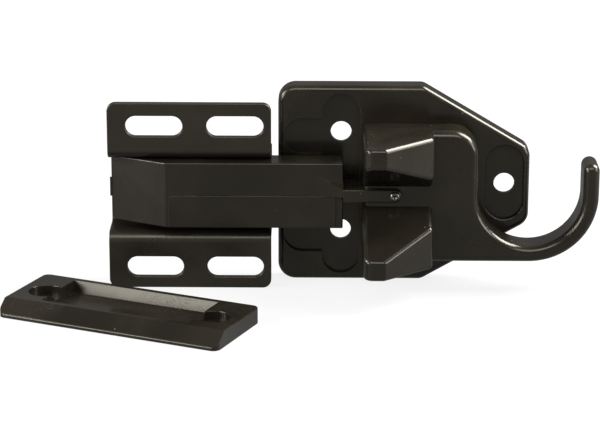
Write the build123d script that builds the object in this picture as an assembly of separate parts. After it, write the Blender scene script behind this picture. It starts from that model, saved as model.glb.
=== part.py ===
from build123d import *
import math
import os

# Screen door latch: a sliding spring bolt with a pull handle on its base plate, its
# channel bracket, and its strike.
# Millimetres. +X runs from the bolt's nose to the handle's hook, +Z is up, the wall is
# the plane Y = 0 and the room is at -Y. The origin is on the wall, level with the handle's
# slide, in line with the plate's two left screw holes. A "depth" is a distance in front of
# the wall.

# Base plate
plate_length = 64.1
plate_height = 51.4
plate_rise = 0.3
plate_thickness = 5.5
plate_left_corner = 4.5
plate_right_corner = 4.0
plate_slant_corner = 3.0
slant_start = 36.8
slant_drop = 15.7
plate_edge_round = 1.5

# Screw holes of the base plate, each in the floor of a recess
plate_hole = 5.3
hole_relief = 9.0
hole_relief_depth = 3.0
left_hole_inset = 16.0
left_hole_edge = 12.4
right_hole_distance = 41.7
left_hole_rise = 0.9
right_hole_rise = 0.4
recess_width = 9.6
recess_depth = 1.2
recess_rim = 1.8
recess_reach_left = 9.9
recess_edge_round = 0.4
right_recess_overrun = 0.2
right_recess_rise = 0.8

# Handle: body, two finger ears and the hook
handle_left = 21.5
handle_length = 29.0
handle_height = 34.3
handle_drop = 0.5
handle_thickness = 9.1
handle_top_corner = 6.8
handle_edge_round = 1.9
handle_back_round = 0.6
handle_left_corner = 0.6
running_gap = 0.35
hook_gap = 26.5
hook_wall = 4.1
hook_tip_rise = 8.7
ear_span = 34.5
ear_drop = 0.15
ear_length = 17.5
ear_height = 17.5
ear_end_height = 6.8
ear_summit = 5.4
ear_draft = 0.3
ear_trough_half = 2.6
ear_trough_angle = 28.0
ear_round = 1.2
ear_heel_round = 2.4
ear_ridge_round = 1.1

# Spring bolt: bar with a bevelled nose and a tail that reaches into the handle
travel = 13.0
bar_length = 58.5
bar_height = 17.0
bar_drop = 0.15
bar_thickness = 8.1
bar_back_gap = 1.5
bar_edge_round = 0.35
bar_handle_gap = 5.0
nose_run = 13.8
nose_tip = 0.9
nose_crease_round = 1.2
tip_tab_length = 0.8
tip_tab_height = 4.8
panel_height = 8.2
panel_rise = 0.4
panel_end_inset = 1.8
panel_edge_round = 0.15
tail_height = 3.3
tail_offset = 0.2
tail_rise = 1.4
tail_reach = 8.0
tail_groove_depth = 3.5
tail_edge_round = 0.35
gusset_run = 6.8
gusset_top = 3.3
gusset_flank = 1.6
snug = 0.05

# Round-headed pin through the tail into the handle
pin_diameter = 1.5
pin_head_diameter = 2.5
pin_head_height = 0.8
pin_crown_round = 0.65
pin_bite = 1.9

# Slide shoe behind the plate, screwed to the handle's stem
slide_gap = 0.3
stem_length = 9.0
stem_height = 5.0
stem_inset = 1.5
shoe_length = 12.5
shoe_height = 11.0
shoe_thickness = 1.8
shoe_pocket_depth = 3.0
shoe_screw_spacing = 5.0
shoe_screw_diameter = 1.8
shoe_screw_head = 3.4
shoe_screw_head_height = 0.9
shoe_screw_length = 7.2

# Return springs, each in a channel in the handle's back, against a lug of the plate
spring_wire = 0.55
spring_diameter = 4.6
spring_turns = 9
spring_offset = 10.2
channel_width = 5.6
channel_depth = 5.6
channel_wall = 2.5
channel_length = 24.3
lug_width = 4.6
lug_height = 5.0
lug_thickness = 2.0
spring_seat_gap = 0.1

# Channel bracket of folded sheet
bracket_length = 41.3
bracket_flange = 14.7
bracket_depth = 12.7
bracket_sheet = 1.5
bracket_clearance = 1.1
bracket_drop = 1.1
bracket_bend = 1.0
bracket_corner = 2.2
bracket_edge_round = 0.3
bracket_plate_gap = 1.65
slot_width = 5.3
slot_edge = 5.8
slot_drop = 0.2
slot_left_margin = 4.6
slot_right_margin = 1.9
slot_web = 6.0

# Strike: bevelled block with a pocket between two counterbored screw holes
strike_length = 60.5
strike_depth = 24.0
strike_height = 4.1
strike_lip = 0.9
strike_slope_run = 4.0
strike_corner = 1.8
strike_edge_round = 0.35
strike_lip_round = 0.6
strike_pocket_draft = 16.0
strike_rim_round = 0.2
strike_pocket_depth = 3.0
strike_pocket_left = 9.4
strike_pocket_right = 10.7
strike_rear_rim = 1.6
strike_front_rim = 1.4
strike_hole = 4.4
strike_hole_inset = 6.95
strike_counterbore = 8.6
strike_counterbore_depth = 2.4
strike_yaw = -23.9
strike_corner_x = -75.15
strike_corner_y = -14.0

# Levels and lines that several pieces share
floor_z = plate_rise - plate_height / 2
plate_top = plate_rise + plate_height / 2
plate_left_x = -left_hole_inset
plate_right_x = plate_left_x + plate_length
shoulder = -floor_z - slant_drop
left_hole_spacing = 2 * (-floor_z - left_hole_edge)
slot_length = (bracket_length - slot_left_margin - slot_web - slot_right_margin) / 2
right_recess_length = 2 * shoulder + right_recess_overrun
handle_left_x = plate_left_x + handle_left
handle_right_x = handle_left_x + handle_length
handle_back = plate_thickness + running_gap
handle_front = handle_back + handle_thickness
handle_half = handle_height / 2
hook_inner = hook_gap / 2
hook_outer = hook_inner + hook_wall
hook_x = handle_right_x + hook_inner
hook_z = hook_outer - handle_half
bar_back = plate_thickness + bar_back_gap
bar_front = bar_back + bar_thickness
bar_end_x = handle_left_x - bar_handle_gap
bar_tip_x = bar_end_x - bar_length
tail_front = handle_front + tail_rise
tail_floor = handle_front - tail_groove_depth
pin_x = handle_left_x + tail_reach
pin_bottom = tail_floor - pin_bite
stem_left_x = handle_left_x + stem_inset
stem_x = stem_left_x + stem_length / 2
stem_back = shoe_pocket_depth - slide_gap
shoe_back = stem_back - shoe_thickness
channel_left_x = handle_left_x + channel_wall
channel_right_x = channel_left_x + channel_length
lug_x = channel_right_x - slide_gap - lug_thickness / 2
spring_depth = handle_back + channel_depth / 2
strike_pocket_length = strike_length - strike_pocket_left - strike_pocket_right
strike_hole_spacing = strike_length - 2 * strike_hole_inset


def prism(outline, near, far):
    """Solid with this front-view outline, from one depth to another in front of the wall."""
    return extrude(Plane.XZ.offset(near) * outline, amount=far - near)


def at(x, z):
    """Place on the front view, seen from the room."""
    return Pos(x, z)


def long_hole(x, z, length, width, angle=0):
    """Front-view outline of a slot with round ends, its middle at x and z."""
    return at(x, z) * SlotOverall(length, width, rotation=angle)


def front_cylinder(x, z, radius, near, far):
    """Round bar or hole that runs straight out from the wall."""
    return prism(at(x, z) * Circle(radius), near, far)


def rims_at(solid, depth):
    """Edges of the holes in the solid's flat front at this depth."""
    front = solid.faces().filter_by(Plane.XZ).filter_by(lambda f: abs(f.center().Y + depth) < 0.01)
    return [edge for face in front for wire in face.inner_wires() for edge in wire.edges()]


def plate_outline():
    """Plate seen from the room: a rectangle whose right side narrows between two slants."""
    slant_x = plate_left_x + slant_start
    outline = make_face(Polyline(
        (plate_left_x, floor_z),
        (slant_x, floor_z),
        (plate_right_x, -shoulder),
        (plate_right_x, shoulder),
        (slant_x, plate_top),
        (plate_left_x, plate_top),
        close=True,
    ))
    outline = fillet(outline.vertices().sort_by(Axis.X)[:2], plate_left_corner)
    outline = fillet(outline.vertices().sort_by(Axis.X)[-2:], plate_right_corner)
    return fillet(outline.vertices().sort_by(Axis.X)[4:6], plate_slant_corner)


def plate_recesses():
    """Recesses round the screw holes: an upright one through both left holes, with two branches."""
    recesses = long_hole(
        right_hole_distance, right_recess_rise, right_recess_length, recess_width, 90
    )
    recesses += long_hole(0, plate_rise, plate_height - 2 * recess_rim, recess_width, 90)
    for z in (-left_hole_spacing / 2, left_hole_spacing / 2):
        recesses += long_hole(
            -recess_reach_left / 2, z, recess_reach_left + recess_width, recess_width
        )
    return recesses


def base_plate():
    """Moulded plate with recessed screw holes, a guide slot, the shoe's pocket and two lugs."""
    body = prism(plate_outline(), 0, plate_thickness)
    rim = body.faces().sort_by(Axis.Y)[0].edges()
    body = fillet(rim, plate_edge_round)
    body -= prism(plate_recesses(), plate_thickness - recess_depth, plate_thickness)
    body = fillet(rims_at(body, plate_thickness), recess_edge_round)
    for x, z in (
        (0, left_hole_rise - left_hole_spacing / 2),
        (0, left_hole_rise + left_hole_spacing / 2),
        (right_hole_distance, right_hole_rise),
    ):
        body -= front_cylinder(x, z, plate_hole / 2, 0, plate_thickness)
        body -= front_cylinder(x, z, hole_relief / 2, 0, hole_relief_depth)
    slot = Rectangle(stem_length + travel + 2 * slide_gap, stem_height + 2 * slide_gap)
    body -= prism(at(stem_x + travel / 2, 0) * slot, 0, plate_thickness)
    pocket = Rectangle(shoe_length + travel + 2 * slide_gap, shoe_height + 2 * slide_gap)
    body -= prism(at(stem_x + travel / 2, 0) * pocket, 0, shoe_pocket_depth)
    for side in (-1, 1):
        lug = at(lug_x, side * spring_offset) * Rectangle(lug_thickness, lug_width)
        body += prism(lug, shoe_pocket_depth, plate_thickness + lug_height)
    return body


def handle_outline():
    """Body and hook seen from the room: a block whose bottom runs on into an upright U."""
    left = handle_left_x
    right = handle_right_x
    bottom = -handle_half
    top = handle_half
    tip = hook_tip_rise
    tip_round = hook_wall / 2
    outer_x = hook_x + hook_outer
    inner_x = hook_x + hook_inner
    edges = [
        Line((left, bottom), (hook_x, bottom)),
        CenterArc((hook_x, hook_z), hook_outer, 270, 90),
        Line((outer_x, hook_z), (outer_x, tip - tip_round)),
        CenterArc((outer_x - tip_round, tip - tip_round), tip_round, 0, 180),
        Line((inner_x, tip - tip_round), (inner_x, hook_z)),
        CenterArc((hook_x, hook_z), hook_inner, 180, 180),
        Line((right, hook_z), (right, top)),
        Line((right, top), (left, top)),
        Line((left, top), (left, bottom)),
    ]
    outline = make_face(edges)
    corner = outline.vertices().sort_by_distance((right, top, 0))[0]
    outline = fillet(corner, handle_top_corner)
    return fillet(outline.vertices().sort_by(Axis.X)[:2], handle_left_corner)


def ear(side):
    """Finger ear: upright outer wall, leaning inner wall, and a ramp down from its summit."""
    root = handle_front - handle_edge_round
    summit = handle_front + ear_height
    lean = math.tan(math.radians(ear_trough_angle))
    outer = ear_span / 2
    inner_root = ear_trough_half - lean * (handle_front - root)
    summit_inner = ear_trough_half + lean * ear_height
    summit_outer = outer - ear_draft
    section = make_face(Polyline(
        (-root, side * inner_root),
        (-root, side * outer),
        (-handle_front, side * outer),
        (-summit, side * summit_outer),
        (-summit, side * summit_inner),
        close=True,
    ))
    beam = extrude(Plane.YZ.offset(handle_left_x) * section, amount=ear_length)
    end_depth = handle_front + ear_end_height
    right = handle_left_x + ear_length
    ramp_x = handle_left_x + ear_summit
    profile = make_face(Polyline(
        (handle_left_x, -root),
        (right, -root),
        (right, -end_depth),
        (ramp_x, -summit),
        (handle_left_x, -summit),
        close=True,
    ))
    profile = fillet(profile.vertices().sort_by_distance((handle_left_x, -summit, 0))[0], ear_heel_round)
    profile = fillet(profile.vertices().sort_by_distance((ramp_x, -summit, 0))[0], ear_round)
    profile = fillet(profile.vertices().sort_by_distance((right, -end_depth, 0))[0], ear_round)
    wedge = extrude(profile, amount=outer, both=True)
    solid = beam & wedge
    free_edges = solid.edges().filter_by(lambda e: e.center().Y < -handle_front - ear_ridge_round)
    return fillet(free_edges, ear_ridge_round)


def handle():
    """Pull handle: body, hook and ears, with the stem and spring channels at its back."""
    body = prism(handle_outline(), handle_back, handle_front)
    front_rim = body.faces().sort_by(Axis.Y)[0].edges()
    body = fillet(front_rim, handle_edge_round)
    back_rim = body.faces().sort_by(Axis.Y)[-1].edges()
    body = fillet(back_rim, handle_back_round)
    body = Pos(0, 0, -handle_drop) * body
    for side in (-1, 1):
        body += Pos(0, 0, -ear_drop) * ear(side)
    stem = at(stem_x, 0) * Rectangle(stem_length, stem_height)
    body += prism(stem, stem_back, handle_back)
    groove = at(pin_x, tail_offset) * Circle(tail_height / 2 + snug)
    groove += at((handle_left_x + pin_x) / 2, tail_offset) * Rectangle(tail_reach, tail_height + 2 * snug)
    body -= prism(groove, tail_floor, tail_front)
    body -= front_cylinder(pin_x, tail_offset, pin_diameter / 2 + snug, pin_bottom, tail_floor)
    for side in (-1, 1):
        channel = at((channel_left_x + channel_right_x) / 2, side * spring_offset)
        channel = channel * Rectangle(channel_length, channel_width)
        body -= prism(channel, handle_back, handle_back + channel_depth)
        screw_x = stem_x + side * shoe_screw_spacing / 2
        body -= front_cylinder(
            screw_x, 0, shoe_screw_diameter / 2 + snug, stem_back, shoe_back + shoe_screw_length
        )
    return body


def bolt():
    """Bar with its bevelled nose, the tab at the tip, the raised panel, the gusset and the tail."""
    bottom = -bar_drop - bar_height / 2
    nose_x = bar_tip_x + nose_run
    profile = make_face(Polyline(
        (bar_tip_x, -bar_back),
        (bar_tip_x, -bar_back - nose_tip),
        (nose_x, -bar_front),
        (bar_end_x, -bar_front),
        (bar_end_x, -bar_back),
        close=True,
    ))
    crease = profile.vertices().sort_by_distance((nose_x, -bar_front, 0))[0]
    profile = fillet(crease, nose_crease_round)
    bar = Pos(0, 0, bottom) * extrude(profile, amount=bar_height)
    corners = bar.edges().group_by(Axis.X)[-1].filter_by(Axis.Z)
    rims = [edge for edge in bar.edges() if abs(edge.center().Z + bar_drop) > bar_height / 2 - 0.01]
    rims = [edge for edge in rims if edge.center().X > bar_tip_x and edge.center().Y < -bar_back]
    bar = fillet(rims + corners, bar_edge_round)
    tab = at(bar_tip_x, 0) * Rectangle(2 * tip_tab_length, tip_tab_height)
    bar += prism(tab, bar_back, bar_back + nose_tip)
    panel_end = bar_end_x - panel_end_inset
    panel_start = nose_x + nose_crease_round / 2
    panel_length = panel_end - panel_start
    panel_z = bottom + bar_edge_round + panel_height / 2
    panel = at(panel_start + panel_length / 2, panel_z) * Rectangle(panel_length, panel_height)
    panel = prism(panel, bar_front - panel_rise, bar_front + panel_rise)
    bar += fillet(panel.faces().sort_by(Axis.Y)[0].edges(), panel_edge_round)
    bar += gusset()
    link_length = bar_handle_gap
    link = at(bar_end_x + link_length / 2, tail_offset) * Rectangle(link_length, tail_height)
    bar += prism(link, bar_back, tail_front)
    tongue = at(pin_x, tail_offset) * Circle(tail_height / 2)
    tongue += at((handle_left_x + pin_x) / 2, tail_offset) * Rectangle(tail_reach, tail_height)
    bar += prism(tongue, tail_floor, tail_front)
    tail_rim = bar.faces().sort_by(Axis.Y)[0].edges()
    bar = fillet([edge for edge in tail_rim if edge.center().X > bar_end_x + slide_gap], tail_edge_round)
    return bar - front_cylinder(pin_x, tail_offset, pin_diameter / 2 + snug, tail_floor, tail_front)


def gusset():
    """Ramp that rises along the bar's face up to the tail, with a leaning flank above."""
    root = bar_front - bar_edge_round
    bottom = panel_height + bar_edge_round - bar_drop - bar_height / 2
    top = tail_offset + tail_height / 2
    lean = gusset_flank / (tail_front - root)
    sections = []
    for x, crest, crest_top in (
        (bar_end_x - gusset_run, bar_front, top + gusset_top),
        (bar_end_x, tail_front, top),
    ):
        sections.append(make_face(Plane.YZ.offset(x) * Polyline(
            (-root, bottom),
            (-crest, bottom),
            (-crest, crest_top),
            (-root, crest_top + lean * (crest - root)),
            close=True,
        )))
    return loft(sections, ruled=True)


def tail_pin():
    """Pin with a domed head that holds the bolt's tail in the handle."""
    shank = front_cylinder(pin_x, tail_offset, pin_diameter / 2, pin_bottom, tail_front)
    head = front_cylinder(pin_x, tail_offset, pin_head_diameter / 2, tail_front, tail_front + pin_head_height)
    crown = head.faces().sort_by(Axis.Y)[0].edges()
    return shank + fillet(crown, pin_crown_round)


def slide_shoe():
    """Flat shoe in the plate's back pocket, countersunk for its two screws."""
    shoe = prism(at(stem_x, 0) * Rectangle(shoe_length, shoe_height), shoe_back, stem_back)
    shoe = fillet(shoe.edges().filter_by(Axis.Y), slide_gap)
    for side in (-1, 1):
        screw_x = stem_x + side * shoe_screw_spacing / 2
        shoe -= shoe_screw(screw_x, snug)
    return shoe


def shoe_screw(x, extra):
    """Countersunk screw, or the hole for it when it is made larger all round."""
    shank_radius = shoe_screw_diameter / 2 + extra
    head_radius = shoe_screw_head / 2 + extra
    screw = front_cylinder(x, 0, shank_radius, shoe_back, shoe_back + shoe_screw_length)
    head = Plane.XZ.offset(shoe_back) * Pos(x, 0, shoe_screw_head_height / 2)
    return screw + head * Cone(head_radius, shank_radius, shoe_screw_head_height)


def shoe_screws():
    """The two screws that hold the slide shoe to the handle's stem."""
    return [shoe_screw(stem_x + side * shoe_screw_spacing / 2, 0) for side in (-1, 1)]


def biarc(start, start_way, end, end_way):
    """Two arcs that join two points smoothly, leaving and arriving along the given directions."""
    chord = end - start
    ways = start_way + end_way
    a = 4 - ways.dot(ways)
    b = chord.dot(ways)
    reach = (math.sqrt(b * b + a * chord.dot(chord)) - b) / a
    first_corner = start + start_way * reach
    second_corner = end - end_way * reach
    middle = (first_corner + second_corner) * 0.5
    return [
        TangentArc(start, middle, tangent=start_way),
        TangentArc(middle, end, tangent=second_corner - first_corner),
    ]


def return_spring(side):
    """Compression spring along X: one tube round a helix, a biarc to each half turn."""
    radius = (spring_diameter - spring_wire) / 2
    left = channel_left_x + spring_seat_gap + spring_wire
    right = lug_x - lug_thickness / 2 - spring_seat_gap - spring_wire
    lead = (right - left) / (2 * math.pi * spring_turns)
    z = side * spring_offset

    def place(angle):
        return Vector(
            left + lead * angle,
            -spring_depth + radius * math.cos(angle),
            z + radius * math.sin(angle),
        )

    def way(angle):
        return Vector(lead, -radius * math.sin(angle), radius * math.cos(angle)).normalized()

    last = 2 * math.pi * spring_turns
    edges = [Line(place(0) - way(0) * spring_wire, place(0))]
    for half in range(2 * spring_turns):
        start = math.pi * half
        end = start + math.pi
        edges += biarc(place(start), way(start), place(end), way(end))
    edges.append(Line(place(last), place(last) + way(last) * spring_wire))
    path = Wire(edges)
    ring = Plane(origin=path @ 0, z_dir=path % 0) * Circle(spring_wire / 2)
    return sweep(ring, path=path)


def print_spring_gap():
    """Print the free space between one turn of a return spring and the next."""
    length = lug_x - lug_thickness / 2 - channel_left_x - 2 * spring_seat_gap - 2 * spring_wire
    print("least gap between spring turns", round(length / spring_turns - spring_wire, 2))


def bracket():
    """Sheet folded into a channel between two slotted flanges that face the room."""
    front = bracket_depth
    inner = bar_height / 2 + bracket_clearance
    t = bracket_sheet
    mid = -bracket_drop
    top = mid + inner + bracket_flange
    section = make_face(Polyline(
        (-front, floor_z),
        (-front, mid - inner),
        (-t, mid - inner),
        (-t, mid + inner),
        (-front, mid + inner),
        (-front, top),
        (-front + t, top),
        (-front + t, mid + inner + t),
        (0, mid + inner + t),
        (0, mid - inner - t),
        (-front + t, mid - inner - t),
        (-front + t, floor_z),
        close=True,
    ))
    for side in (-1, 1):
        for y, z, radius in (
            (-front, mid + side * inner, bracket_bend + t),
            (-front + t, mid + side * (inner + t), bracket_bend),
            (-t, mid + side * inner, bracket_bend),
            (0, mid + side * (inner + t), bracket_bend + t),
        ):
            corner = section.vertices().sort_by_distance((y, z, 0))[0]
            section = fillet(corner, radius)
    right = plate_left_x - bracket_plate_gap
    left = right - bracket_length
    sheet = extrude(Plane.YZ.offset(left) * section, amount=bracket_length)
    for x in (left + slot_left_margin + slot_length / 2, right - slot_right_margin - slot_length / 2):
        for z in (floor_z + slot_edge, top - slot_edge):
            sheet -= prism(long_hole(x, z - slot_drop, slot_length, slot_width), front - 2 * t, front + t)
    corners = sheet.edges().filter_by(Axis.Y)
    corners = corners.group_by(Axis.Z)[0] + corners.group_by(Axis.Z)[-1]
    sheet = fillet(corners, bracket_corner)
    flanges = sheet.faces().filter_by(Plane.XZ).filter_by(lambda f: abs(f.center().Y + front) < 0.01)
    rims = [edge for face in flanges for edge in face.edges()]
    bend_line = inner + bracket_bend + t
    rims = [edge for edge in rims if abs(edge.center().Z - mid) > bend_line + bracket_edge_round]
    return fillet(rims, bracket_edge_round)


def strike():
    """Block with a sloping front, a long pocket, and a counterbored hole at each end."""
    slope_start = strike_depth - strike_slope_run
    profile = make_face(Polyline(
        (0, 0),
        (-strike_depth, 0),
        (-strike_depth, strike_lip),
        (-slope_start, strike_height),
        (0, strike_height),
        close=True,
    ))
    lip = profile.vertices().sort_by_distance((-strike_depth, strike_lip, 0))[0]
    profile = fillet(lip, strike_lip_round)
    plan = Pos(strike_length / 2, -strike_depth / 2) * Rectangle(strike_length, strike_depth)
    plan = fillet(plan.vertices(), strike_corner)
    block = extrude(plan, amount=strike_height) & extrude(Plane.YZ * profile, amount=strike_length)
    brow = block.faces().sort_by(Axis.Z)[-1].edges()
    block = fillet(brow, strike_edge_round)
    pocket_width = slope_start - strike_rear_rim - strike_front_rim
    floor = strike_height - strike_pocket_depth
    lean = strike_pocket_depth * math.tan(math.radians(strike_pocket_draft))
    pocket = make_face(Polyline(
        (-strike_rear_rim - lean, floor),
        (-strike_rear_rim, strike_height),
        (-strike_rear_rim - pocket_width, strike_height),
        (-strike_rear_rim - pocket_width, floor),
        close=True,
    ))
    block -= extrude(Plane.YZ.offset(strike_pocket_left) * pocket, amount=strike_pocket_length)
    for side in (-1, 1):
        centre = Pos((strike_length + side * strike_hole_spacing) / 2, -strike_depth / 2)
        block -= extrude(centre * Circle(strike_hole / 2), amount=strike_height)
        step = Pos(0, 0, strike_height - strike_counterbore_depth)
        block -= extrude(step * centre * Circle(strike_counterbore / 2), amount=strike_height)
    top = block.faces().filter_by(Axis.Z).sort_by(Axis.Z)[-1]
    rims = [edge for wire in top.inner_wires() for edge in wire.edges()]
    block = fillet(rims, strike_rim_round)
    return Pos(strike_corner_x, strike_corner_y, floor_z) * Rot(0, 0, strike_yaw) * block


def save(name, solids):
    """Write one named node."""
    shape = solids if not isinstance(solids, list) else Compound(children=solids)
    export_step(shape, "parts/" + name + ".step")


os.makedirs("parts", exist_ok=True)
save("base_plate", base_plate())
save("handle", handle())
save("bolt", bolt())
save("tail_pin", tail_pin())
save("slide_shoe", slide_shoe())
save("shoe_screws", shoe_screws())
save("return_springs", [return_spring(-1), return_spring(1)])
print_spring_gap()
save("bracket", bracket())
save("strike", strike())
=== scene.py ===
import math

import bpy
import numpy as np
from mathutils import Matrix, Vector


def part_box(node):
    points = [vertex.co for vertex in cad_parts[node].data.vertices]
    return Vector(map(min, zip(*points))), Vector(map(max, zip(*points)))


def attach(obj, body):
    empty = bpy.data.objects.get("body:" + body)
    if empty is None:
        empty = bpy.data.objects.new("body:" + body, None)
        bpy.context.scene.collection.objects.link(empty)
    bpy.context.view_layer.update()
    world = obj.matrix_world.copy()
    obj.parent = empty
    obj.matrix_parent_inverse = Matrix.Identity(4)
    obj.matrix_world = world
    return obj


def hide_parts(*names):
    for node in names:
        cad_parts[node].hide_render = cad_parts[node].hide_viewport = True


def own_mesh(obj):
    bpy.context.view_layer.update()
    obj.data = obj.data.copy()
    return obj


bl_info = {
    "name": "Screen Door Latch",
    "version": (1, 0, 0),
    "blender": (4, 5, 0),
    "location": "3D View > Sidebar > Latch",
    "description": "Dresses a screen door latch: finishes, springs, pin, screws and a studio stage",
    "category": "Object",
}

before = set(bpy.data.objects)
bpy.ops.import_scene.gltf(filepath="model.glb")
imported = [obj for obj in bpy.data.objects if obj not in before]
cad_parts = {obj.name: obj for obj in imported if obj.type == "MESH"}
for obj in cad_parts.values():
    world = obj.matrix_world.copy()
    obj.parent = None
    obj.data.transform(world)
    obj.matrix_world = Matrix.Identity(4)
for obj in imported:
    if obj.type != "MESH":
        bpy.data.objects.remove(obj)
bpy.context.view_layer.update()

MILLIMETRE = 0.001

# Tint of the reflections on plastic and paint
WARM = (1.0, 0.93, 0.79)

# Fineness of the round meshes
PIN_SIDES = 48
SCREW_SIDES = 64
WIRE_SIDES = 14
WIRE_STEPS_PER_TURN = 36

# Floor: its shape, and how the camera and the latch's reflections see it
FLOOR_LEVEL = -0.0254
FLOOR_RADII = (0.4, 6.0)
FLOOR_SIDES = 96
FLOOR_SEEN_COLOUR = (0.30, 0.30, 0.295)
FLOOR_GLOW = 1.16
FLOOR_SEEN_GLOW_SHARE = 0.72
FLOOR_MIRRORED_GLOW_SHARE = 0.27

# Soft boxes: name, place, aim, width, height and watts
SOFT_BOXES = (
    ("Upper Right Box", (0.435, 0.115, 0.430), (0.01, -0.01, 0.0), 0.40, 0.40, 13.0),
    ("Upper Left Box", (-0.66, -0.16, 0.36), (-0.03, -0.01, 0.0), 0.26, 0.26, 5.0),
    ("Front Box", (0.0, -0.50, 0.50), (0.0, -0.01, 0.0), 0.60, 0.26, 2.8),
    ("Left Box", (-0.62, -0.44, 0.16), (-0.03, -0.02, 0.0), 0.30, 0.30, 3.0),
    ("Right Box", (0.66, -0.20, 0.18), (0.03, -0.02, 0.0), 0.30, 0.30, 2.5),
)

# Camera fitted to the photograph: its place, its direction in degrees and its right-hand axis
CAMERA_PLACE = (-0.004375, -0.629006, 0.183609)
CAMERA_AZIMUTH = 0.555
CAMERA_ELEVATION = 17.121
CAMERA_RIGHT = (0.99994634, 0.01021561, 0.00171802)
CAMERA_SENSOR = 36.0


# Sizes and colours that a user would change


class LatchFinishes(bpy.types.PropertyGroup):
    """Colours and gloss of the latch's materials."""

    plastic_colour: bpy.props.FloatVectorProperty(
        name="Plastic colour",
        description="Body colour of the black moulded pieces",
        subtype="COLOR",
        size=3,
        min=0.0,
        max=1.0,
        default=(0.0080, 0.0067, 0.0046),
    )
    plastic_roughness: bpy.props.FloatProperty(
        name="Plastic roughness",
        description="Roughness of the moulded pieces where they are clean",
        subtype="FACTOR",
        min=0.0,
        max=1.0,
        default=0.20,
    )
    paint_colour: bpy.props.FloatVectorProperty(
        name="Paint colour",
        description="Colour of the bracket's paint",
        subtype="COLOR",
        size=3,
        min=0.0,
        max=1.0,
        default=(0.0108, 0.0092, 0.0066),
    )
    zinc_colour: bpy.props.FloatVectorProperty(
        name="Zinc colour",
        description="Colour of the zinc-plated steel",
        subtype="COLOR",
        size=3,
        min=0.0,
        max=1.0,
        default=(0.62, 0.63, 0.64),
    )
    dust_colour: bpy.props.FloatVectorProperty(
        name="Dust colour",
        description="Colour of the specks of dust",
        subtype="COLOR",
        size=3,
        min=0.0,
        max=1.0,
        default=(0.32, 0.29, 0.24),
    )


class LatchSprings(bpy.types.PropertyGroup):
    """Sizes of the two return springs."""

    wire: bpy.props.FloatProperty(
        name="Wire",
        description="Diameter of the spring wire",
        unit="LENGTH",
        min=0.0001,
        default=0.55 * MILLIMETRE,
    )
    turns: bpy.props.IntProperty(
        name="Turns",
        description="Turns of each spring, its closed end turns included",
        min=4,
        default=10,
    )
    offset: bpy.props.FloatProperty(
        name="Offset",
        description="Distance of each spring's middle line above or below the slide's line",
        unit="LENGTH",
        min=0.001,
        default=10.2 * MILLIMETRE,
    )
    travel: bpy.props.FloatProperty(
        name="Travel",
        description="How much shorter a spring is with the bolt drawn right back",
        unit="LENGTH",
        min=0.0,
        default=13.0 * MILLIMETRE,
    )


class LatchFixings(bpy.types.PropertyGroup):
    """Sizes of the tail pin and the slide shoe's screws."""

    pin_shank: bpy.props.FloatProperty(
        name="Pin shank",
        description="Diameter of the tail pin's shank",
        unit="LENGTH",
        min=0.0005,
        default=1.5 * MILLIMETRE,
    )
    pin_head: bpy.props.FloatProperty(
        name="Pin head",
        description="Height of the tail pin's domed head",
        unit="LENGTH",
        min=0.0002,
        default=0.8 * MILLIMETRE,
    )
    pin_dish: bpy.props.FloatProperty(
        name="Pin dish",
        description="Diameter of the dished middle of the pin's head",
        unit="LENGTH",
        min=0.0001,
        default=1.2 * MILLIMETRE,
    )
    screw_shank: bpy.props.FloatProperty(
        name="Screw shank",
        description="Outside diameter of the screws' thread",
        unit="LENGTH",
        min=0.0005,
        default=1.8 * MILLIMETRE,
    )
    screw_head: bpy.props.FloatProperty(
        name="Screw head",
        description="Height of the screws' countersunk heads",
        unit="LENGTH",
        min=0.0002,
        default=0.9 * MILLIMETRE,
    )
    screw_length: bpy.props.FloatProperty(
        name="Screw length",
        description="Length of the screws, heads included",
        unit="LENGTH",
        min=0.002,
        default=7.2 * MILLIMETRE,
    )
    screw_pitch: bpy.props.FloatProperty(
        name="Screw pitch",
        description="Distance from one crest of the thread to the next",
        unit="LENGTH",
        min=0.0002,
        default=0.7 * MILLIMETRE,
    )


class LatchStage(bpy.types.PropertyGroup):
    """Light, floor and lens of the studio."""

    floor_colour: bpy.props.FloatVectorProperty(
        name="Floor colour",
        description="Colour that the floor casts on the latch",
        subtype="COLOR",
        size=3,
        min=0.0,
        max=1.0,
        default=(0.06, 0.06, 0.059),
    )
    world_level: bpy.props.FloatProperty(
        name="World level",
        description="Strength of the even light from all round",
        min=0.0,
        default=0.30,
    )
    lens: bpy.props.FloatProperty(
        name="Lens",
        description="Focal length of the camera, for a sensor 36 mm wide",
        min=1.0,
        default=152.63,
    )


# Shader helpers


def feed(tree, socket, value):
    """Link an input to an output, or give it a number or a colour."""
    if isinstance(value, bpy.types.NodeSocket):
        tree.links.new(value, socket)
    elif isinstance(value, tuple):
        socket.default_value = (*value, 1.0)
    else:
        socket.default_value = value


def add_node(tree, kind, **settings):
    """Node of a kind, with its settings."""
    node = tree.nodes.new(kind)
    for name, value in settings.items():
        setattr(node, name, value)
    return node


def set_inputs(tree, node, **values):
    """Feed a node's inputs, by socket name with spaces written as underscores."""
    for name, value in values.items():
        feed(tree, node.inputs[name.replace("_", " ")], value)


def math_node(tree, operation, *values, clamp=False):
    """Result of a math node on numbers or sockets."""
    node = add_node(tree, "ShaderNodeMath", operation=operation, use_clamp=clamp)
    for socket, value in zip(node.inputs, values):
        feed(tree, socket, value)
    return node.outputs[0]


def remap(tree, value, low, high, to_low=0.0, to_high=1.0):
    """Value carried smoothly from one range to another and held within it."""
    node = add_node(tree, "ShaderNodeMapRange", interpolation_type="SMOOTHSTEP")
    set_inputs(
        tree, node, Value=value, From_Min=low, From_Max=high, To_Min=to_low, To_Max=to_high
    )
    return node.outputs["Result"]


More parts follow.
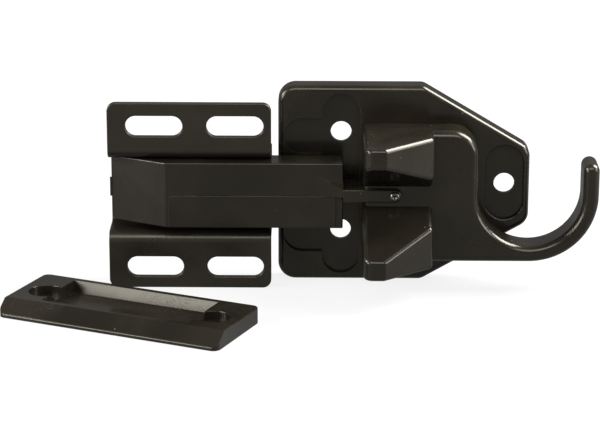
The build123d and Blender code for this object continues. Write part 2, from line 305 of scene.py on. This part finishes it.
def noise(tree, vector, scale, detail=2.0, rough=0.5, distortion=0.0):
    """Noise texture's value over the given coordinates."""
    node = add_node(tree, "ShaderNodeTexNoise")
    set_inputs(tree, node, Vector=vector, Scale=scale, Detail=detail, Roughness=rough)
    set_inputs(tree, node, Distortion=distortion)
    return node.outputs["Fac"]


def mix_colour(tree, factor, first, second):
    """Colour between two colours or colour sockets."""
    node = add_node(tree, "ShaderNodeMix", data_type="RGBA", clamp_factor=True)
    for place, value in ((0, factor), (6, first), (7, second)):
        feed(tree, node.inputs[place], value)
    return node.outputs[2]


def mix_value(tree, factor, first, second):
    """Number between two numbers or sockets."""
    node = add_node(tree, "ShaderNodeMix", data_type="FLOAT", clamp_factor=True)
    for place, value in ((0, factor), (2, first), (3, second)):
        feed(tree, node.inputs[place], value)
    return node.outputs[0]


def scaled(colour, factor):
    """Colour made darker or lighter, no channel past 1."""
    return tuple(min(1.0, channel * factor) for channel in colour)


def new_group(name, **numbers):
    """Node group from a Vector and numbers to a Mask, with its input and output nodes."""
    tree = bpy.data.node_groups.new(name, "ShaderNodeTree")
    face = tree.interface
    face.new_socket(name="Vector", in_out="INPUT", socket_type="NodeSocketVector")
    for label, default in numbers.items():
        socket = face.new_socket(
            name=label.replace("_", " "), in_out="INPUT", socket_type="NodeSocketFloat"
        )
        socket.default_value = default
    face.new_socket(name="Mask", in_out="OUTPUT", socket_type="NodeSocketFloat")
    return tree, tree.nodes.new("NodeGroupInput").outputs, tree.nodes.new("NodeGroupOutput")


def edge_wear_group():
    """Mask that is 1 along the edges: where the normal rounded over Width leaves the true one."""
    tree, given, out = new_group("Edge Wear", Width=0.4 * MILLIMETRE, Breakup=900.0)
    rounded = add_node(tree, "ShaderNodeBevel", samples=8)
    set_inputs(tree, rounded, Radius=given["Width"])
    true = add_node(tree, "ShaderNodeNewGeometry")
    dot = add_node(tree, "ShaderNodeVectorMath", operation="DOT_PRODUCT")
    tree.links.new(rounded.outputs["Normal"], dot.inputs[0])
    tree.links.new(true.outputs["Normal"], dot.inputs[1])
    turn = math_node(tree, "SUBTRACT", 1.0, dot.outputs["Value"])
    edge = remap(tree, turn, 0.0, 0.2)
    patches = noise(tree, given["Vector"], given["Breakup"], detail=3.0, rough=0.6)
    patches = remap(tree, patches, 0.42, 0.62)
    set_inputs(tree, out, Mask=math_node(tree, "MULTIPLY", edge, patches))
    return tree


def rub_marks_group():
    """Mask of rub marks: fine arcs in scattered cells, broken up and kept to patches.

    Each cell of a Voronoi texture gives the distance to its middle. The sine of that distance,
    bent a little by noise, makes rings, of which only the crests are kept.
    """
    tree, given, out = new_group("Rub Marks", Density=1.0, Patch_Scale=60.0)
    where = given["Vector"]
    layers = []
    for cell_scale, rings, shift in ((46.0, 170.0, 0.0), (85.0, 110.0, 0.37)):
        moved = add_node(tree, "ShaderNodeVectorMath", operation="ADD")
        tree.links.new(where, moved.inputs[0])
        moved.inputs[1].default_value = (shift, shift, shift)
        cells = add_node(tree, "ShaderNodeTexVoronoi")
        set_inputs(tree, cells, Vector=moved.outputs["Vector"], Scale=cell_scale, Randomness=1.0)
        bend = math_node(tree, "MULTIPLY", noise(tree, where, cell_scale * 2.2), 16.0)
        phase = math_node(tree, "MULTIPLY_ADD", cells.outputs["Distance"], rings, bend)
        line = remap(tree, math_node(tree, "SINE", phase), 0.90, 1.0)
        breaks = remap(tree, noise(tree, where, cell_scale * 11.0), 0.48, 0.60)
        layers.append(math_node(tree, "MULTIPLY", line, breaks))
    marks = math_node(tree, "MAXIMUM", *layers)
    worn = remap(tree, noise(tree, where, given["Patch Scale"]), 0.46, 0.62)
    marks = math_node(tree, "MULTIPLY", marks, worn)
    marks = math_node(tree, "MULTIPLY", marks, given["Density"], clamp=True)
    set_inputs(tree, out, Mask=marks)
    return tree


def dust_group():
    """Mask of dust: specks of random size in the middles of a Share of a texture's cells."""
    tree, given, out = new_group("Dust Specks", Scale=420.0, Share=0.10)
    cells = add_node(tree, "ShaderNodeTexVoronoi")
    set_inputs(tree, cells, Vector=given["Vector"], Scale=given["Scale"])
    parts = add_node(tree, "ShaderNodeSeparateColor")
    set_inputs(tree, parts, Color=cells.outputs["Color"])
    chosen = math_node(tree, "LESS_THAN", parts.outputs["Red"], given["Share"])
    radius = math_node(tree, "MULTIPLY_ADD", parts.outputs["Green"], 0.10, 0.03)
    speck = math_node(tree, "LESS_THAN", cells.outputs["Distance"], radius)
    set_inputs(tree, out, Mask=math_node(tree, "MULTIPLY", chosen, speck))
    return tree


def mask(tree, group, vector, **values):
    """Mask of a group fed with coordinates and its own values."""
    node = add_node(tree, "ShaderNodeGroup", node_tree=group)
    set_inputs(tree, node, Vector=vector, **values)
    return node.outputs["Mask"]


def shaded(name, colour, roughness, metallic=0.0, level=0.5, tint=(1.0, 1.0, 1.0)):
    """New material with its Principled shader, the shader's constants and Object coordinates."""
    material = bpy.data.materials.new(name)
    material.use_nodes = True
    tree = material.node_tree
    tree.nodes.clear()
    shader = add_node(tree, "ShaderNodeBsdfPrincipled")
    output = add_node(tree, "ShaderNodeOutputMaterial")
    set_inputs(tree, output, Surface=shader.outputs["BSDF"])
    set_inputs(tree, shader, Base_Color=colour, Roughness=roughness, Metallic=metallic)
    set_inputs(tree, shader, Specular_IOR_Level=level, Specular_Tint=tint)
    coordinates = add_node(tree, "ShaderNodeTexCoord")
    return material, tree, shader, coordinates.outputs["Object"]


def dull_rim(tree, shader, level):
    """Let the reflection fade where the surface is seen almost edge on, as on a hazy moulding."""
    weight = add_node(tree, "ShaderNodeLayerWeight")
    set_inputs(tree, weight, Blend=0.5)
    fading = remap(tree, weight.outputs["Facing"], 0.50, 0.84, level, level * 0.03)
    set_inputs(tree, shader, Specular_IOR_Level=fading)


def bump(tree, shader, height, distance):
    """Feed a height into the shader's normal."""
    node = add_node(tree, "ShaderNodeBump")
    set_inputs(tree, node, Strength=1.0, Distance=distance, Height=height)
    set_inputs(tree, shader, Normal=node.outputs["Normal"])


def dusted(tree, body, specks):
    """Body colour with its specks of dust laid over it."""
    colour = tuple(bpy.context.scene.latch_finishes.dust_colour)
    return mix_colour(tree, math_node(tree, "MULTIPLY", specks, 0.18), body, colour)


def moulded_plastic(name, colour, roughness, groups, wear=0.25, rub=0.45, dust=0.03):
    """Glossy moulded plastic with faint flow marks, rub marks, pale rubbed edges and dust."""
    level = 0.40
    material, tree, shader, where = shaded(name, colour, roughness, level=level, tint=WARM)
    flow = noise(tree, where, 55.0, detail=4.0, rough=0.55, distortion=0.6)
    peel = noise(tree, where, 620.0)
    edge = mask(tree, groups["edge"], where, Width=0.5 * MILLIMETRE, Breakup=160.0)
    marks = mask(tree, groups["rub"], where, Density=rub, Patch_Scale=70.0)
    specks = mask(tree, groups["dust"], where, Scale=620.0, Share=dust)
    mottle = remap(tree, flow, 0.35, 0.65)
    rubbed = tuple(min(1.0, channel * 4.5 + 0.02) for channel in colour)
    body = mix_colour(tree, mottle, scaled(colour, 0.8), scaled(colour, 1.35))
    body = mix_colour(tree, math_node(tree, "MULTIPLY", edge, wear), body, rubbed)
    body = mix_colour(tree, math_node(tree, "MULTIPLY", marks, 0.30), body, rubbed)
    gloss = remap(tree, flow, 0.3, 0.7, roughness * 0.85, roughness * 1.25)
    gloss = mix_value(tree, edge, gloss, roughness + 0.12)
    gloss = mix_value(tree, marks, gloss, roughness + 0.2)
    gloss = mix_value(tree, specks, gloss, 0.9)
    set_inputs(tree, shader, Base_Color=dusted(tree, body, specks), Roughness=gloss)
    sunk = math_node(tree, "MULTIPLY", marks, -0.5)
    bump(tree, shader, math_node(tree, "MULTIPLY_ADD", peel, 0.35, sunk), 0.03 * MILLIMETRE)
    dull_rim(tree, shader, level)
    return material


def painted_steel(name, colour, groups):
    """Black paint on steel sheet: a slow orange peel, rubbed edges and a few specks."""
    level = 0.45
    material, tree, shader, where = shaded(name, colour, 0.3, level=level, tint=WARM)
    peel = noise(tree, where, 380.0)
    slow = noise(tree, where, 60.0, detail=3.0)
    edge = mask(tree, groups["edge"], where, Width=0.4 * MILLIMETRE, Breakup=220.0)
    marks = mask(tree, groups["rub"], where, Density=0.8, Patch_Scale=80.0)
    specks = mask(tree, groups["dust"], where, Scale=700.0, Share=0.05)
    mottle = remap(tree, slow, 0.3, 0.7)
    rubbed = (0.10, 0.09, 0.075)
    body = mix_colour(tree, mottle, scaled(colour, 0.85), scaled(colour, 1.25))
    body = mix_colour(tree, math_node(tree, "MULTIPLY", edge, 0.45), body, rubbed)
    gloss = remap(tree, slow, 0.3, 0.7, 0.26, 0.36)
    gloss = mix_value(tree, marks, gloss, 0.5)
    gloss = mix_value(tree, specks, gloss, 0.9)
    set_inputs(tree, shader, Base_Color=dusted(tree, body, specks), Roughness=gloss)
    sunk = math_node(tree, "MULTIPLY", marks, -0.4)
    bump(tree, shader, math_node(tree, "ADD", peel, sunk), 0.04 * MILLIMETRE)
    dull_rim(tree, shader, level)
    return material


def bright_zinc(name, colour, groups):
    """Bare or plated steel: a metal with a cloudy surface and fine rub marks."""
    material, tree, shader, where = shaded(name, colour, 0.3, metallic=1.0)
    cloud = noise(tree, where, 420.0, detail=4.0, rough=0.6)
    marks = mask(tree, groups["rub"], where, Density=1.0, Patch_Scale=200.0)
    mottle = remap(tree, cloud, 0.3, 0.7)
    body = mix_colour(tree, mottle, scaled(colour, 0.8), scaled(colour, 1.12))
    gloss = remap(tree, cloud, 0.3, 0.7, 0.22, 0.38)
    gloss = mix_value(tree, marks, gloss, 0.5)
    set_inputs(tree, shader, Base_Color=body, Roughness=gloss)
    bump(tree, shader, cloud, 0.01 * MILLIMETRE)
    return material


def built_materials():
    """The latch's materials by name, made the first time they are asked for."""
    if "Latch Plastic" in bpy.data.materials:
        return {m.name: m for m in bpy.data.materials}
    settings = bpy.context.scene.latch_finishes
    groups = {"edge": edge_wear_group(), "rub": rub_marks_group(), "dust": dust_group()}
    plastic = tuple(settings.plastic_colour)
    moulded_plastic("Latch Plastic", plastic, settings.plastic_roughness, groups)
    moulded_plastic(
        "Shoe Plastic", (0.02, 0.02, 0.02), 0.5, groups, wear=0.2, rub=0.4, dust=0.05
    )
    painted_steel("Bracket Paint", tuple(settings.paint_colour), groups)
    bright_zinc("Bright Zinc", tuple(settings.zinc_colour), groups)
    bright_zinc("Pin Steel", (0.16, 0.152, 0.138), groups)
    return {m.name: m for m in bpy.data.materials}


def node_material(node, material):
    """Give a carried-over piece this material in place of its own."""
    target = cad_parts[node]
    target.data.materials.clear()
    target.data.materials.append(material)


# Mesh helpers


def around(sides):
    """Angles of the points of a ring."""
    return np.linspace(0.0, 2.0 * np.pi, sides, endpoint=False)


def ring_faces(rows, sides):
    """Quads between the neighbours in a stack of closed rings."""
    i, j = np.meshgrid(np.arange(rows - 1), np.arange(sides), indexing="ij")
    near = i * sides
    far = (i + 1) * sides
    after = (j + 1) % sides
    return np.stack((near + j, near + after, far + after, far + j), axis=-1).reshape(-1, 4)


def outward(points, faces):
    """The faces, all turned over if the closed mesh they make has a volume below nought."""
    total = 0.0
    for face in faces:
        corners = points[list(face)]
        fan = np.cross(corners[1:-1], corners[2:])
        total += np.einsum("ij,ij->", fan, np.tile(corners[0], (len(fan), 1)))
    return faces if total > 0.0 else [list(face)[::-1] for face in faces]


def capped(rings):
    """Points and outward faces of a stack of closed rings, its ends covered by flat polygons."""
    rows, sides = rings.shape[:2]
    points = rings.reshape(-1, 3)
    faces = [list(face) for face in ring_faces(rows, sides)]
    faces.append(list(range(sides)))
    faces.append(list(range(rows * sides - 1, (rows - 1) * sides - 1, -1)))
    return points, outward(points, faces)


def merged(parts):
    """Points and faces of several closed meshes as one mesh."""
    points = np.concatenate([part[0] for part in parts])
    faces = []
    start = 0
    for part_points, part_faces in parts:
        faces += [[start + corner for corner in face] for face in part_faces]
        start += len(part_points)
    return points, faces


def mesh_object(name, points, faces, material, smooth=True, crease=0.6):
    """Object at the origin with these points and polygons, sharp past the crease angle."""
    mesh = bpy.data.meshes.new(name)
    polygons = [[int(corner) for corner in face] for face in faces]
    mesh.from_pydata(np.asarray(points).tolist(), [], polygons)
    mesh.polygons.foreach_set("use_smooth", np.full(len(mesh.polygons), smooth))
    if smooth:
        mesh.set_sharp_from_angle(angle=crease)
    mesh.update()
    piece = bpy.data.objects.new(name, mesh)
    bpy.context.scene.collection.objects.link(piece)
    piece.data.materials.append(material)
    return piece


def tube(path, radius, sides):
    """Rings of a round bar: a circle carried along the path, square to its direction."""
    way = np.gradient(path, axis=0)
    way /= np.linalg.norm(way, axis=1)[:, None]
    across = np.cross(way, np.array([1.0, 0.0, 0.0]))
    across /= np.linalg.norm(across, axis=1)[:, None]
    up = np.cross(across, way)
    cos = np.cos(around(sides))[None, :, None]
    sin = np.sin(around(sides))[None, :, None]
    return path[:, None, :] + (across[:, None, :] * cos + up[:, None, :] * sin) * radius


def turned(x, z, radius, depth, sides):
    """Rings about a line along Y.

    The radii and the depths (Y) each come as a column with one value a ring, or as a table with
    one value for every point.
    """
    angle = around(sides)[None, :]
    depth = np.broadcast_to(depth, (len(depth), sides))
    return np.stack((x + radius * np.cos(angle), depth, z + radius * np.sin(angle)), axis=-1)


# One operator for each group of pieces


class LATCH_OT_mouldings(bpy.types.Operator):
    """Give the moulded plate, handle, bolt, strike and shoe their plastic"""

    bl_idname = "latch.mouldings"
    bl_label = "Moulded Pieces"

    def execute(self, context):
        materials = built_materials()
        for node in ("base_plate", "handle", "bolt", "strike"):
            node_material(node, materials["Latch Plastic"])
        node_material("slide_shoe", materials["Shoe Plastic"])
        return {"FINISHED"}


class LATCH_OT_bracket(bpy.types.Operator):
    """Paint the folded bracket"""

    bl_idname = "latch.bracket"
    bl_label = "Bracket"

    def execute(self, context):
        node_material("bracket", built_materials()["Bracket Paint"])
        return {"FINISHED"}


def pin_profile(low, high, settings):
    """Radius and Y of each ring of the pin: a chamfered shank and a domed, dished head.

    The dish falls with the cosine of the distance from the middle, from nought at its rim to its
    full depth at the centre.
    """
    front = low[1]
    back = high[1]
    head = settings.pin_head
    head_radius = (high[0] - low[0]) / 2.0
    shank = settings.pin_shank / 2.0
    dish = settings.pin_dish / 2.0
    seat = front + head
    chamfer = shank * 0.3
    crown = head * 0.75
    dish_depth = head * 0.55
    rows = [(shank - chamfer, back), (shank, back - chamfer), (shank, seat), (head_radius, seat)]
    angle = np.radians(np.linspace(0.0, 90.0, 8))
    dome_radius = head_radius - crown + crown * np.cos(angle)
    dome_depth = front + crown - crown * np.sin(angle)
    rows += np.stack((dome_radius, dome_depth), axis=-1).tolist()
    reach = np.linspace(1.0, 0.02, 10)
    fall = 0.5 + 0.5 * np.cos(np.pi * reach)
    rows += np.stack((dish * reach, front + dish_depth * fall), axis=-1).tolist()
    return np.array(rows)


def screw_rings(x, z, back, head_radius, settings):
    """Rings of a countersunk screw along Y, with its cross recess and its thread.

    In the flat of the head, a point's depth is the recess depth times how far it lies inside a
    cross: the nearer arm's half width less its distance from the arm's middle line, over half of
    that width, held from 0 to 1, and less towards the arm's end. On the shank, the radius falls by
    the thread's depth times a triangle wave of the distance along the screw, in pitches, less the
    angle in turns. Past the last two pitches it shrinks to the point.
    """
    angle = around(SCREW_SIDES)[None, :]
    shank = settings.screw_shank / 2.0
    head = settings.screw_head
    length = settings.screw_length
    pitch = settings.screw_pitch
    arm = head_radius * 0.16
    arm_end = head_radius * 0.62
    recess_depth = head * 0.75
    thread_depth = pitch * 0.4
    spread = np.linspace(0.01, 1.0, 26)[:, None] * head_radius
    from_axes = np.abs(spread * np.cos(angle)), np.abs(spread * np.sin(angle))
    across = np.minimum(*from_axes)
    along = np.maximum(*from_axes)
    inside = np.clip((arm - across) / (arm * 0.5), 0.0, 1.0)
    inside = inside * np.clip((arm_end - along) / (arm_end * 0.4), 0.0, 1.0)
    flat = turned(x, z, spread, back - recess_depth * inside, SCREW_SIDES)
    cone = np.array([head_radius, shank])[:, None]
    rim = back - head * np.array([0.08, 0.9])[:, None]
    sloping = turned(x, z, cone, rim, SCREW_SIDES)
    run = np.linspace(head, length, 90)[:, None]
    turns = run / pitch - angle / (2.0 * np.pi)
    wave = np.abs(2.0 * (turns % 1.0) - 1.0)
    taper = np.clip((length - run) / (2.0 * pitch), 0.25, 1.0)
    radius = (shank - thread_depth * wave) * taper
    thread = turned(x, z, radius, back - run, SCREW_SIDES)
    return np.concatenate((flat, sloping, thread))


class LATCH_OT_fixings(bpy.types.Operator):
    """Turn the tail pin and the slide shoe's two screws"""

    bl_idname = "latch.fixings"
    bl_label = "Pin and Screws"

    def execute(self, context):
        settings = context.scene.latch_fixings
        materials = built_materials()
        low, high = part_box("tail_pin")
        x = (low[0] + high[0]) / 2.0
        z = (low[2] + high[2]) / 2.0
        profile = pin_profile(low, high, settings)
        rings = turned(x, z, profile[:, :1], profile[:, 1:], PIN_SIDES)
        pin = mesh_object("tail_pin_turned", *capped(rings), materials["Pin Steel"])
        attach(pin, "slider")
        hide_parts("tail_pin")
        low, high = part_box("shoe_screws")
        z = (low[2] + high[2]) / 2.0
        head_radius = (high[2] - low[2]) / 2.0
        parts = []
        for x in (low[0] + head_radius, high[0] - head_radius):
            parts.append(capped(screw_rings(x, z, high[1], head_radius, settings)))
        screws = mesh_object("shoe_screws_threaded", *merged(parts), materials["Bright Zinc"])
        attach(screws, "slider")
        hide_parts("shoe_screws")
        return {"FINISHED"}


def spring_path(left, right, depth, z, radius, wire, turns):
    """Centre line of a compression spring along X.

    The angle grows evenly. The advance along X per turn is one wire's thickness over the closed
    part of a turn at each end, grows smoothly to the open pitch over the opening part that
    follows, and that pitch is such that the whole comes to the free length.
    """
    closed_part = 0.8
    opening_part = 0.5
    turn = np.linspace(0.0, turns, turns * WIRE_STEPS_PER_TURN + 1)
    from_end = np.minimum(turn, turns - turn)
    opening = np.clip((from_end - closed_part) / opening_part, 0.0, 1.0)
    opening = opening * opening * (3.0 - 2.0 * opening)
    step = np.diff(turn)
    middle = (opening[1:] + opening[:-1]) / 2.0
    closed = np.sum(step) * wire
    open_pitch = (right - left - closed) / np.sum(middle * step)
    advance = np.concatenate(([0.0], np.cumsum(step * (wire + open_pitch * middle))))
    angle = 2.0 * np.pi * turn
    y = depth + radius * np.cos(angle)
    return np.stack((left + advance, y, z + radius * np.sin(angle)), axis=-1)


class LATCH_OT_springs(bpy.types.Operator):
    """Wind the two return springs at one length; in the latch they shorten as the bolt is drawn
    back
    """

    bl_idname = "latch.springs"
    bl_label = "Return Springs"

    def execute(self, context):
        settings = context.scene.latch_springs
        low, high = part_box("return_springs")
        wire = settings.wire
        left = low[0] + wire / 4.0
        right = high[0] - wire / 4.0
        depth = (low[1] + high[1]) / 2.0
        outside = (high[2] - low[2]) / 2.0 - settings.offset
        radius = outside - wire / 2.0
        parts = []
        for z in (-settings.offset, settings.offset):
            path = spring_path(left, right, depth, z, radius, wire, settings.turns)
            rings = tube(path, wire / 2.0, WIRE_SIDES)
            rings[..., 0] = np.clip(rings[..., 0], low[0], high[0])
            parts.append(capped(rings))
        zinc = built_materials()["Bright Zinc"]
        springs = mesh_object("return_springs_wound", *merged(parts), zinc, crease=1.2)
        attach(springs, "base")
        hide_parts("return_springs")
        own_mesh(springs)
        return {"FINISHED"}


def soft_box(name, place, aim, width, height, watts):
    """Rectangular area light at a place, facing a point."""
    lamp = bpy.data.lights.new(name, "AREA")
    lamp.shape = "RECTANGLE"
    lamp.size = width
    lamp.size_y = height
    lamp.energy = watts
    box = bpy.data.objects.new(name, lamp)
    box.location = place
    box.rotation_euler = (Vector(aim) - Vector(place)).to_track_quat("-Z", "Y").to_euler()
    bpy.context.scene.collection.objects.link(box)


def studio_world(level):
    """Even white light all round."""
    world = bpy.data.worlds.new("Studio")
    bpy.context.scene.world = world
    world.use_nodes = True
    tree = world.node_tree
    tree.nodes.clear()
    back = add_node(tree, "ShaderNodeBackground")
    out = add_node(tree, "ShaderNodeOutputWorld")
    set_inputs(tree, back, Color=(1.0, 1.0, 1.0), Strength=level)
    set_inputs(tree, out, Surface=back.outputs["Background"])


def studio_floor(colour):
    """Broad round floor under the latch.

    It casts little light on the latch. The camera sees it white, with the latch's shadow, and
    the latch's reflections show a part of that white.
    """
    angle = around(FLOOR_SIDES)[None, :]
    radius = np.array(FLOOR_RADII)[:, None]
    level = np.full((len(FLOOR_RADII), FLOOR_SIDES), FLOOR_LEVEL)
    points = np.stack((radius * np.cos(angle), radius * np.sin(angle), level), axis=-1)
    faces = [list(face)[::-1] for face in ring_faces(len(FLOOR_RADII), FLOOR_SIDES)]
    faces.append(list(range(FLOOR_SIDES)))
    material, tree, shader, where = shaded("Floor", colour, 0.6, level=0.2)
    seen_by = add_node(tree, "ShaderNodeLightPath").outputs
    body = mix_colour(tree, noise(tree, where, 9.0), scaled(colour, 0.985), colour)
    body = mix_colour(tree, seen_by["Is Camera Ray"], body, FLOOR_SEEN_COLOUR)
    set_inputs(tree, shader, Base_Color=body)
    glow = add_node(tree, "ShaderNodeEmission")
    set_inputs(tree, glow, Strength=FLOOR_GLOW)
    direct = math_node(
        tree, "MAXIMUM", seen_by["Is Camera Ray"], seen_by["Is Transmission Ray"]
    )
    direct = math_node(tree, "MULTIPLY", direct, FLOOR_SEEN_GLOW_SHARE)
    mirrored = math_node(
        tree, "MULTIPLY", seen_by["Is Glossy Ray"], FLOOR_MIRRORED_GLOW_SHARE
    )
    blend = add_node(tree, "ShaderNodeMixShader")
    feed(tree, blend.inputs[0], math_node(tree, "MAXIMUM", direct, mirrored))
    feed(tree, blend.inputs[1], shader.outputs["BSDF"])
    feed(tree, blend.inputs[2], glow.outputs["Emission"])
    output = next(node for node in tree.nodes if node.type == "OUTPUT_MATERIAL")
    set_inputs(tree, output, Surface=blend.outputs["Shader"])
    floor = mesh_object("studio_floor", points.reshape(-1, 3), faces, material, smooth=False)


def studio_camera(lens):
    """Camera at the photograph's place."""
    camera = bpy.data.cameras.new("Camera")
    camera.sensor_fit = "HORIZONTAL"
    camera.sensor_width = CAMERA_SENSOR
    camera.lens = lens
    camera.clip_start = 0.01
    camera.clip_end = 20.0
    azimuth = math.radians(CAMERA_AZIMUTH)
    elevation = math.radians(CAMERA_ELEVATION)
    back = Vector((
        math.sin(azimuth) * math.cos(elevation),
        -math.cos(azimuth) * math.cos(elevation),
        math.sin(elevation),
    ))
    right = Vector(CAMERA_RIGHT)
    up = back.cross(right)
    seat = bpy.data.objects.new("Camera", camera)
    turn = Matrix((right, up, back)).transposed().to_4x4()
    seat.matrix_world = Matrix.Translation(CAMERA_PLACE) @ turn
    bpy.context.scene.collection.objects.link(seat)
    bpy.context.scene.camera = seat


class LATCH_OT_stage(bpy.types.Operator):
    """Lay the floor, hang the soft lights and set up the camera"""

    bl_idname = "latch.stage"
    bl_label = "Studio Stage"

    def execute(self, context):
        settings = context.scene.latch_stage
        studio_floor(tuple(settings.floor_colour))
        studio_world(settings.world_level)
        for box in SOFT_BOXES:
            soft_box(*box)
        studio_camera(settings.lens)
        context.scene.view_settings.view_transform = "Standard"
        return {"FINISHED"}


class LATCH_PT_parts(bpy.types.Panel):
    """Settings and buttons for the latch's pieces and its stage"""

    bl_idname = "LATCH_PT_parts"
    bl_label = "Screen Door Latch"
    bl_space_type = "VIEW_3D"
    bl_region_type = "UI"
    bl_category = "Latch"

    def draw(self, context):
        layout = self.layout
        scene = context.scene
        groups = (
            scene.latch_finishes,
            scene.latch_springs,
            scene.latch_fixings,
            scene.latch_stage,
        )
        for group in groups:
            for name in type(group).__annotations__:
                layout.prop(group, name)
        for operator in OPERATORS:
            layout.operator(operator.bl_idname)


GROUPS = (LatchFinishes, LatchSprings, LatchFixings, LatchStage)
OPERATORS = (
    LATCH_OT_stage,
    LATCH_OT_mouldings,
    LATCH_OT_bracket,
    LATCH_OT_fixings,
    LATCH_OT_springs,
)


def register():
    for made in (*GROUPS, *OPERATORS, LATCH_PT_parts):
        bpy.utils.register_class(made)
    bpy.types.Scene.latch_finishes = bpy.props.PointerProperty(type=LatchFinishes)
    bpy.types.Scene.latch_springs = bpy.props.PointerProperty(type=LatchSprings)
    bpy.types.Scene.latch_fixings = bpy.props.PointerProperty(type=LatchFixings)
    bpy.types.Scene.latch_stage = bpy.props.PointerProperty(type=LatchStage)


def unregister():
    del bpy.types.Scene.latch_finishes
    del bpy.types.Scene.latch_springs
    del bpy.types.Scene.latch_fixings
    del bpy.types.Scene.latch_stage
    for made in (LATCH_PT_parts, *reversed(OPERATORS), *reversed(GROUPS)):
        bpy.utils.unregister_class(made)


def main():
    """Register the classes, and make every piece."""
    register()
    bpy.ops.latch.stage()
    bpy.ops.latch.mouldings()
    bpy.ops.latch.bracket()
    bpy.ops.latch.fixings()
    bpy.ops.latch.springs()


if __name__ == "__main__":
    main()
